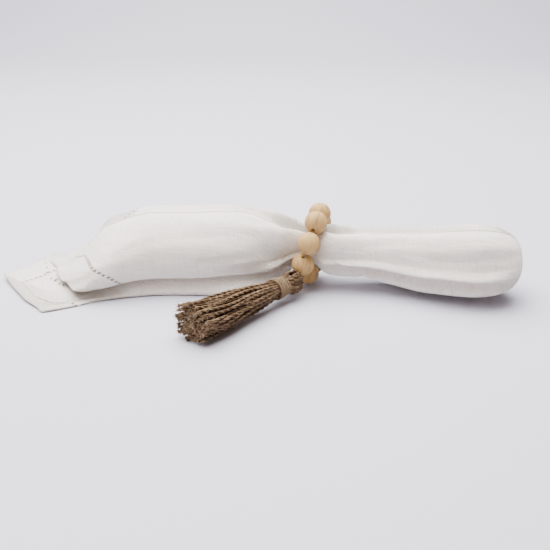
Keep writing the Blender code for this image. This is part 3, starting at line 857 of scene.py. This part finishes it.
# The ring is eight turned beads of pale unfinished wood, each a ball a little flattened at its
# drilled ends. They are threaded on the elastic, and no two show the same grain.

BEAD_RADIUS = 7.5 * MM
BORE_RADIUS = 1.1 * MM
BORE_LIP = 0.35 * MM
BEAD_SIDES = 40
BEAD_BANDS = 22
GRAIN_TILT = 0.25
GRAIN_APART = 40 * MM
BEAD_WEAR = 0.006

# The half profile of a bead, from the middle of its bore over the lip and round the ball
bore_end = math.sqrt(BEAD_RADIUS ** 2 - (BORE_RADIUS + BORE_LIP) ** 2)
bead_profile = [(BORE_RADIUS, height * bore_end) for height in (-0.5, 0, 0.5)]
bead_profile.append((BORE_RADIUS, bore_end - BORE_LIP))
bead_profile.append((BORE_RADIUS + 0.3 * BORE_LIP, bore_end - 0.25 * BORE_LIP))
lip_angle = math.asin((BORE_RADIUS + BORE_LIP) / BEAD_RADIUS)
for band in range(BEAD_BANDS + 1):
    angle = lip_angle + (math.pi - 2 * lip_angle) * band / BEAD_BANDS
    bead_profile.append((BEAD_RADIUS * math.sin(angle), BEAD_RADIUS * math.cos(angle)))
bead_profile.append((BORE_RADIUS + 0.3 * BORE_LIP, -bore_end + 0.25 * BORE_LIP))
bead_profile.append((BORE_RADIUS, -bore_end + BORE_LIP))


def make_bead(number, random):
    """Turn one bead about its bore, in its place on the ring, with its own grain."""
    middle = bead_middles[number]
    ahead = bead_middles[(number + 1) % BEAD_COUNT] - bead_middles[number - 1]
    turn = ahead.to_track_quat("Z", "Y").to_matrix()
    grain_turn = Matrix.Rotation(random.uniform(-GRAIN_TILT, GRAIN_TILT), 3, "X")
    grain_shift = Vector([random.uniform(-1, 1) for axis in range(3)]) * GRAIN_APART
    bead = bmesh.new()
    grain = bead.verts.layers.float_vector.new("grain_place")
    rings = []
    for radius, height in bead_profile:
        ring = []
        for side in range(BEAD_SIDES):
            around = 2 * math.pi * side / BEAD_SIDES
            place = Vector((radius * math.cos(around), radius * math.sin(around), height))
            wear = 1 + BEAD_WEAR * noise.noise(place * 260 + grain_shift * 900)
            vert = bead.verts.new(middle + turn @ (place * wear))
            vert[grain] = grain_turn @ place + grain_shift
            ring.append(vert)
        rings.append(ring)
    for ring, following in zip(rings, rings[1:] + rings[:1]):
        for side in range(BEAD_SIDES):
            after = (side + 1) % BEAD_SIDES
            bead.faces.new((ring[side], following[side], following[after], ring[after]))
    bmesh.ops.recalc_face_normals(bead, faces=bead.faces)
    mesh = bpy.data.meshes.new(f"wood_bead_{number + 1}")
    bead.to_mesh(mesh)
    bead.free()
    mesh.shade_smooth()
    return mesh


# Pale wood: fine growth rings across the bead, short pores along the grain, raw and matt
pale_wood, nodes, links, shader = new_material("pale_wood")
grain = add_node(nodes, "ShaderNodeAttribute", attribute_name="grain_place").outputs["Vector"]
growth = add_noise(nodes, links, grain, (620, 210, 24), detail=3.0, roughness=0.55, distortion=0.3)
pores = add_noise(nodes, links, grain, (2600, 2600, 230), detail=2.0, roughness=0.6)
wood_tint = add_ramp(nodes, [(0.30, (0.335, 0.19, 0.066)), (0.44, (0.45, 0.275, 0.104)),
                             (0.58, (0.52, 0.33, 0.132)), (0.72, (0.385, 0.228, 0.08))], growth, links)
pore_tint = add_ramp(nodes, [(0.30, (0.80, 0.74, 0.68)), (0.46, (1, 1, 1))], pores, links)
wood_colour = multiply_colours(nodes, links, wood_tint, pore_tint, 0.8)
wood_gloss = add_node(nodes, "ShaderNodeMapRange", to_min=0.5, to_max=0.68)
links.new(growth, wood_gloss.inputs["Value"])
links.new(wood_gloss.outputs["Result"], shader.inputs["Roughness"])
set_finish(links, shader, wood_colour, add_bump(nodes, links, pores, 0.35, 0.18 * MM), shine=0.25)

bead_random = Random(11)
for number in range(BEAD_COUNT):
    bead_mesh = make_bead(number, bead_random)
    bead_mesh.materials.append(pale_wood)
    bead = add_object(bead_mesh.name, bead_mesh)
    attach(bead, "root")
    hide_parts(f"bead_{number + 1}")


# The elastic is a thin round cord, braided over rubber, tied inside a bead. It runs through
# all eight bores and through the eye of the hanger, and shows only in the gaps.

def add_stripes(nodes, links, place, scale, **settings):
    """Add slanting stripes over a place, as on a braid or a twist."""
    stripes = add_node(nodes, "ShaderNodeTexWave", wave_type="BANDS", bands_direction="DIAGONAL",
                       scale=scale, **settings)
    links.new(place, stripes.inputs["Vector"])
    return stripes.outputs["Fac"]


elastic_braid, nodes, links, shader = new_material("elastic_braid")
place = add_node(nodes, "ShaderNodeTexCoord").outputs["Object"]
braid = add_stripes(nodes, links, place, 900.0, distortion=1.5, detail=1.0)
# The braid is painted dark brown: painted shade, so that the cord reads as dark as the bores it lies in
braid_painted_shade_tint = add_ramp(nodes, [(0.2, (0.15, 0.12, 0.09)), (0.7, (0.30, 0.25, 0.20))], braid, links)
set_finish(links, shader, braid_painted_shade_tint, add_bump(nodes, links, braid, 0.4, 0.1 * MM), rough=0.55)
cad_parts["elastic"].material_slots[0].material = elastic_braid


# The tassel is a hank of two-ply jute strands, folded over the hanger's end and cut level.
# The strands are pressed together under the binding, and splay towards the cut end.

# Its top and its cut end, the strands, the neck under the binding, and the splayed skirt
TASSEL_TOP = Vector((-13, -24.5, 11.5)) * MM + RING_FOOT
TASSEL_END = Vector((-76, -93, 12.4)) * MM + RING_FOOT
PLY_RADIUS = 0.60 * MM
PLY_APART = 0.88
STRAND_PITCH = 9.5 * MM
STRAND_COUNT = 112
STRAND_STEPS = 24
STRAND_STEP = 1.7 * MM
STRAY_SHARE = 0.12
NECK_START = 8 * MM
NECK_END = 22.5 * MM
NECK_RADIUS = 5.3 * MM
NECK_SQUEEZE = 0.72
SPLAY_SIDE = 13.9 * MM
SPLAY_RISE = 12.2 * MM
SPLAY_POWER = 0.72
END_FRAY = 0.22
FLOOR_CLEARANCE = 1.15 * MM

tassel_down = (TASSEL_END - TASSEL_TOP).normalized()
tassel_side = Vector((0, 0, 1)).cross(tassel_down).normalized()
tassel_turn = Matrix((tassel_side, tassel_down.cross(tassel_side), tassel_down)).transposed()
tassel_length = (TASSEL_END - TASSEL_TOP).length


def in_tassel(side, rise, down):
    """Return the point of the table frame for a place in the tassel, over the table top."""
    place = TASSEL_TOP + tassel_turn @ Vector((side, rise, down))
    place.z = max(place.z, FLOOR_CLEARANCE)
    return place


def guide_object(name, paths):
    """Make loose lines, one for each path of (point, thickness share), as a mesh object."""
    points = [point for path in paths for point, share in path]
    shares = [share for path in paths for point, share in path]
    phases = []
    edges = []
    random = Random(len(paths))
    for path in paths:
        first = len(phases)
        phases += [random.uniform(0, 1)] * len(path)
        edges += [(index, index + 1) for index in range(first, first + len(path) - 1)]
    mesh = bpy.data.meshes.new(name)
    mesh.from_pydata(points, edges, [])
    for title, values in (("thickness_share", shares), ("strand_phase", phases)):
        mesh.attributes.new(title, "FLOAT", "POINT").data.foreach_set("value", values)
    return add_object(name, mesh)


def keep_attribute(nodes, links, curve, kind, name, value):
    """Keep a value on a curve's points under a name that the materials read."""
    keep = add_node(nodes, "GeometryNodeStoreNamedAttribute", data_type=kind, domain="POINT")
    keep.inputs["Name"].default_value = name
    links.new(curve, keep.inputs["Geometry"])
    links.new(value, keep.inputs["Value"])
    return keep.outputs["Geometry"]


def add_circle(nodes, links, radius, sides):
    """Add the round outline of a ply or a fibre."""
    circle = add_node(nodes, "GeometryNodeCurvePrimitiveCircle", mode="RADIUS", resolution=sides)
    links.new(radius, circle.inputs["Radius"])
    return circle.outputs["Curve"]


def sweep_along(nodes, links, curve, outline):
    """Sweep an outline along a curve, as thick as the lines' thickness share says."""
    share = read_attribute(nodes, "FLOAT", "thickness_share")
    thick = nodes.new("GeometryNodeSetCurveRadius")
    links.new(curve, thick.inputs["Curve"])
    links.new(share, thick.inputs["Radius"])
    sweep = add_node(nodes, "GeometryNodeCurveToMesh", fill_caps=True)
    links.new(thick.outputs["Curve"], sweep.inputs["Curve"])
    links.new(outline, sweep.inputs["Profile Curve"])
    if "Scale" in sweep.inputs:
        links.new(share, sweep.inputs["Scale"])
    return sweep.outputs["Mesh"]


def twine_tree(material):
    """Build a tree that turns loose lines into twine of two plies, twisted round each other."""
    sizes = [("Ply Radius", "Float"), ("Twist Pitch", "Float"), ("Step", "Float")]
    tree, nodes, links, start, lines = new_tree("twisted_twine", sizes, "Twine")
    curve = even_points(nodes, links, lines, start["Step"])
    along = nodes.new("GeometryNodeSplineParameter").outputs["Length"]
    phase = read_attribute(nodes, "FLOAT", "strand_phase")
    turns = add_math(nodes, links, "DIVIDE", along, start["Twist Pitch"])
    turns = add_math(nodes, links, "ADD", turns, phase)
    tilt = nodes.new("GeometryNodeSetCurveTilt")
    links.new(curve, tilt.inputs["Curve"])
    links.new(add_math(nodes, links, "MULTIPLY", turns, 2 * math.pi), tilt.inputs["Tilt"])
    strand_place = nodes.new("ShaderNodeCombineXYZ")
    links.new(along, strand_place.inputs["X"])
    links.new(phase, strand_place.inputs["Y"])
    curve = keep_attribute(nodes, links, tilt.outputs["Curve"], "FLOAT_VECTOR", "strand_place",
                           strand_place.outputs["Vector"])
    around = nodes.new("GeometryNodeSplineParameter").outputs["Factor"]
    ply = keep_attribute(nodes, links, add_circle(nodes, links, start["Ply Radius"], 6), "FLOAT",
                         "around_ply", around)
    plies = nodes.new("GeometryNodeJoinGeometry")
    for apart in (-PLY_APART, PLY_APART):
        shift = nodes.new("ShaderNodeCombineXYZ")
        links.new(add_math(nodes, links, "MULTIPLY", start["Ply Radius"], apart), shift.inputs["X"])
        move = nodes.new("GeometryNodeTransform")
        links.new(ply, move.inputs["Geometry"])
        links.new(shift.outputs["Vector"], move.inputs["Translation"])
        links.new(move.outputs["Geometry"], plies.inputs["Geometry"])
    smooth = nodes.new("GeometryNodeSetShadeSmooth")
    links.new(sweep_along(nodes, links, curve, plies.outputs["Geometry"]), smooth.inputs["Geometry"])
    return end_tree(tree, smooth.outputs["Geometry"], material)


def jute_material(name, dark, middle, light):
    """Make jute: fibres that wind along each ply, in patches, and a tone for each strand."""
    material, nodes, links, shader = new_material(name)
    strand = add_node(nodes, "ShaderNodeAttribute", attribute_name="strand_place").outputs["Vector"]
    around = add_node(nodes, "ShaderNodeAttribute", attribute_name="around_ply").outputs["Fac"]
    split = nodes.new("ShaderNodeSeparateXYZ")
    links.new(strand, split.inputs["Vector"])
    join = nodes.new("ShaderNodeCombineXYZ")
    for axis, value in (("X", split.outputs["X"]), ("Y", around), ("Z", split.outputs["Y"])):
        links.new(value, join.inputs[axis])
    fibres = add_noise(nodes, links, join.outputs["Vector"], (260, 9, 60), detail=4.0, roughness=0.65)
    place = add_node(nodes, "ShaderNodeTexCoord").outputs["Object"]
    patches = add_noise(nodes, links, place, 170.0, detail=2.0)
    blend = add_node(nodes, "ShaderNodeMix", data_type="FLOAT")
    blend.inputs["Factor"].default_value = 0.35
    links.new(fibres, blend.inputs["A"])
    links.new(patches, blend.inputs["B"])
    tint = add_ramp(nodes, [(0.30, dark), (0.50, middle), (0.68, light)], blend.outputs["Result"], links)
    tone = add_ramp(nodes, [(0.0, (0.62, 0.60, 0.58)), (0.55, (0.98, 0.98, 0.98)),
                            (1.0, (1.0, 1.0, 1.0))], split.outputs["Y"], links)
    set_finish(links, shader, multiply_colours(nodes, links, tint, tone),
               add_bump(nodes, links, fibres, 0.7, 0.3 * MM), rough=0.85, shine=0.25)
    return material


jute = jute_material("jute", (0.052, 0.028, 0.014), (0.148, 0.089, 0.047), (0.38, 0.265, 0.165))
jute_twine = twine_tree(jute)
random = Random(7)
strand_paths = []
for number in range(STRAND_COUNT):
    spread = math.sqrt((number + 0.5) / STRAND_COUNT)
    turn = number * math.pi * (3 - math.sqrt(5))
    side = spread * math.cos(turn) + random.uniform(-0.05, 0.05)
    rise = spread * math.sin(turn) + random.uniform(-0.05, 0.05)
    reach = tassel_length - NECK_END + random.uniform(-1.6, 0.8) * MM
    kink = random.uniform(0, 9)
    sway = random.uniform(0.5, 1.5) * MM * (2.0 if random.random() < STRAY_SHARE else 1)
    path = []
    for step in range(STRAND_STEPS + 1):
        down = NECK_START + (NECK_END + reach - NECK_START) * step / STRAND_STEPS
        share = max((down - NECK_END) / reach, 0)
        flare = share ** SPLAY_POWER
        half_side = NECK_RADIUS + (SPLAY_SIDE - NECK_RADIUS) * flare
        half_rise = NECK_RADIUS + (SPLAY_RISE - NECK_RADIUS) * flare
        wave_side = math.sin(share * 9 + kink) * sway * flare
        wave_rise = math.cos(share * 7 + kink * 2) * sway * flare
        point = in_tassel(half_side * side + wave_side, half_rise * rise + wave_rise, down)
        thickness = NECK_SQUEEZE + (1 - NECK_SQUEEZE) * min(share * 4, 1)
        path.append((point, thickness + END_FRAY * ease(0.9, 1, share)))
    strand_paths.append(path)

# The folded head: strands that come out of the binding, bulge, and cross over the top
HEAD_RADIUS = 7.0 * MM
HEAD_SPREAD = 6.8 * MM
HEAD_TOP = -3.2 * MM
HEAD_SLOPE = 1.6 * MM
HEAD_BULGE = 4.6 * MM
HEAD_TUCK = 8 * MM
LOOPS = 19
LOOP_TURN = 2.05
LOOP_STEPS = 28
LOOP_THICKNESS = 0.95
for loop in range(LOOPS):
    offset = HEAD_SPREAD * (2 * loop / (LOOPS - 1) - 1)
    turn = random.uniform(-0.16, 0.16)
    half = math.sqrt(HEAD_RADIUS ** 2 - (0.96 * offset) ** 2) * random.uniform(0.9, 1.03)
    top = HEAD_TOP + HEAD_SLOPE * ease(-2 * MM, 6 * MM, offset) + random.uniform(-0.7, 0.7) * MM
    path = []
    for step in range(LOOP_STEPS + 1):
        swing = (2 * step / LOOP_STEPS - 1) * LOOP_TURN
        over = min(abs(swing), math.pi / 2)
        under = max(abs(swing) - math.pi / 2, 0) / (LOOP_TURN - math.pi / 2)
        out = math.copysign(half * math.sin(over) * (1 - 0.36 * under), swing)
        down = HEAD_BULGE - (HEAD_BULGE - top) * math.cos(over) + HEAD_TUCK * under
        lean = offset * (1 - 0.32 * under) * (0.72 + 0.28 * math.sin(over))
        point = in_tassel(out * math.cos(turn) - lean * math.sin(turn),
                          out * math.sin(turn) + lean * math.cos(turn), down)
        path.append((point, LOOP_THICKNESS))
    strand_paths.append(path)
tassel = run_tree(guide_object("jute_strands", strand_paths), jute_twine,
                  {"Ply Radius": PLY_RADIUS, "Twist Pitch": STRAND_PITCH, "Step": STRAND_STEP},
                  "jute_tassel")
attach(tassel, "root")
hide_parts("tassel")

# Jute is coarse, and single fibres work loose from it: they stand off the strands and bristle
# at the cut end. They are stiff, a tenth of a millimetre thick and paler than the strands.
HAIR_RADIUS = 0.055 * MM
HAIR_COUNT = 2200
HAIR_STEPS = 3
HAIR_FIRST_STEP = 4
HAIR_TAPER = 0.6
hair_paths = []
for number in range(HAIR_COUNT):
    path = strand_paths[random.randrange(STRAND_COUNT)]
    at_end = number % 3 > 0
    index = STRAND_STEPS if at_end else random.randrange(HAIR_FIRST_STEP, STRAND_STEPS)
    start = path[index][0]
    along = (path[index][0] - path[index - 1][0]).normalized()
    out = Vector([random.uniform(-1, 1) for axis in range(3)])
    heading = (along * (1.1 if at_end else random.choice((-0.9, 0.9))) + out * 0.85).normalized()
    bend = Vector([random.uniform(-1, 1) for axis in range(3)]) * 0.45
    reach = random.uniform(1.0, 3.4) * MM
    begin = start + out * 0.75 * MM - heading * 0.4 * MM
    hair = []
    for step in range(HAIR_STEPS + 1):
        share = step / HAIR_STEPS
        point = begin + (heading + bend * share) * reach * share
        point.z = max(point.z, 2 * HAIR_RADIUS)
        hair.append((point, 1 - HAIR_TAPER * share))
    hair_paths.append(hair)


def hair_tree(material):
    """Build a tree that turns loose lines into thin tapering fibres."""
    tree, nodes, links, start, lines = new_tree("loose_fibres", [("Fibre Radius", "Float")], "Fibres")
    outline = add_circle(nodes, links, start["Fibre Radius"], 3)
    return end_tree(tree, sweep_along(nodes, links, lines, outline), material)


# Single fibres: paler than the strands, their colour drifting from one to the next
loose_fibre, nodes, links, shader = new_material("loose_fibre")
place = add_node(nodes, "ShaderNodeTexCoord").outputs["Object"]
drift = add_noise(nodes, links, place, 420.0, detail=1.0)
fibre_tint = add_ramp(nodes, [(0.35, (0.15, 0.09, 0.048)), (0.65, (0.46, 0.33, 0.21))], drift, links)
set_finish(links, shader, fibre_tint, rough=0.7, shine=0.3)
hairs = run_tree(guide_object("jute_hairs", hair_paths), hair_tree(loose_fibre),
                 {"Fibre Radius": HAIR_RADIUS}, "jute_fibres")
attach(hairs, "root")


# The binding is finer, paler jute twine, wound tightly round the neck in one layer.
# Its first and last turns are tucked under the others.

BINDING_PLY = 0.37 * MM
BINDING_PITCH = 3.2 * MM
BINDING_STEP = 0.7 * MM
BINDING_START = 10.2 * MM
BINDING_END = 21.6 * MM
BINDING_TURNS = 6.6
BINDING_NARROW = 5.6 * MM
BINDING_WIDE = 7.1 * MM
BINDING_STEPS = 34
TURN_LIFT = 0.5 * MM
TURN_SLIDE = 0.8 * MM
TUCK_DEPTH = 1.5 * MM
TUCK_TURNS = 0.35
FIRST_ANGLE = 0.9

pale_jute = jute_material("pale_jute", (0.13, 0.08, 0.042), (0.35, 0.24, 0.14), (0.60, 0.45, 0.295))
wound = []
random = Random(3)
lift = [random.uniform(-0.5, 0.5) for turn in range(10)]
slide = [random.uniform(-0.42, 0.42) for turn in range(10)]
steps = int(BINDING_TURNS * BINDING_STEPS)
for step in range(steps + 1):
    share = step / steps
    turns = BINDING_TURNS * share
    whole = int(turns)
    part = ease(0, 1, turns - whole)
    uneven = lift[whole] + (lift[whole + 1] - lift[whole]) * part
    wander = slide[whole] + (slide[whole + 1] - slide[whole]) * part
    tucked = 1 - ease(0, TUCK_TURNS, min(turns, BINDING_TURNS - turns))
    radius = BINDING_NARROW + (BINDING_WIDE - BINDING_NARROW) * ease(0, 1, share)
    radius += TURN_LIFT * uneven - TUCK_DEPTH * tucked
    down = BINDING_START + (BINDING_END - BINDING_START) * share + TURN_SLIDE * wander
    angle = 2 * math.pi * turns + FIRST_ANGLE
    wound.append((in_tassel(radius * math.cos(angle), radius * math.sin(angle), down), 1))
binding = run_tree(guide_object("wound_twine", [wound]), twine_tree(pale_jute),
                   {"Ply Radius": BINDING_PLY, "Twist Pitch": BINDING_PITCH, "Step": BINDING_STEP},
                   "jute_binding")
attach(binding, "root")
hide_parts("tassel_binding")

# The hanger is one strand of the same jute, with an eye round the elastic between two beads and
# its end tied into the tassel's head. Its solid keeps its shape here and only takes the jute.
hanger_jute, nodes, links, shader = new_material("hanger_jute")
place = add_node(nodes, "ShaderNodeTexCoord").outputs["Object"]
twist = add_stripes(nodes, links, place, 260.0, distortion=3.0, detail=3.0, detail_scale=4.0)
hanger_tint = add_ramp(nodes, [(0.2, (0.10, 0.05, 0.022)), (0.5, (0.25, 0.15, 0.08)),
                               (0.8, (0.46, 0.31, 0.18))], twist, links)
set_finish(links, shader, hanger_tint, add_bump(nodes, links, twist, 0.7, 0.3 * MM), rough=0.85)
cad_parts["tassel_hanger"].material_slots[0].material = hanger_jute
